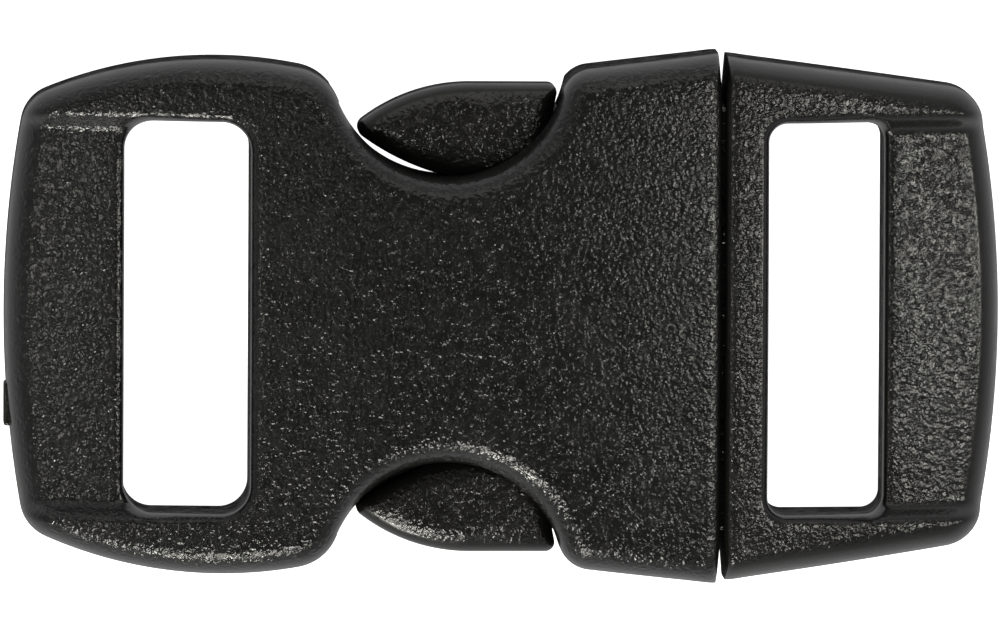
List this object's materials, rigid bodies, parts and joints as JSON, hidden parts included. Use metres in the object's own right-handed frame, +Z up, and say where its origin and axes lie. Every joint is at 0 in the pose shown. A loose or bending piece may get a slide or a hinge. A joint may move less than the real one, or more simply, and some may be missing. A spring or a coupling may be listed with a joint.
{
  "type": "side release buckle",
  "caption": "Contoured side release buckle in black textured plastic, fastened, with a strap slot at each end and press heads at both sides.",
  "frame": {"origin": "under the middle of the buckle, in the plane of the surface that its two ends rest on", "axes": "+X along the strap from the socket's end to the plug's end, +Y across the strap, +Z up out of the domed face"},
  "size_m": [0.043, 0.0228, 0.0084],
  "materials": {
    "socket_plastic": "fine spark-eroded grain with a low sheen, smoother on the rounded edges",
    "plug_plastic": "fine spark-eroded grain with a low sheen, smoother on the rounded edges"
  },
  "bodies": {
    "root": {"socket": "socket_plastic", "plug": "plug_plastic"}
  },
  "joints": []
}
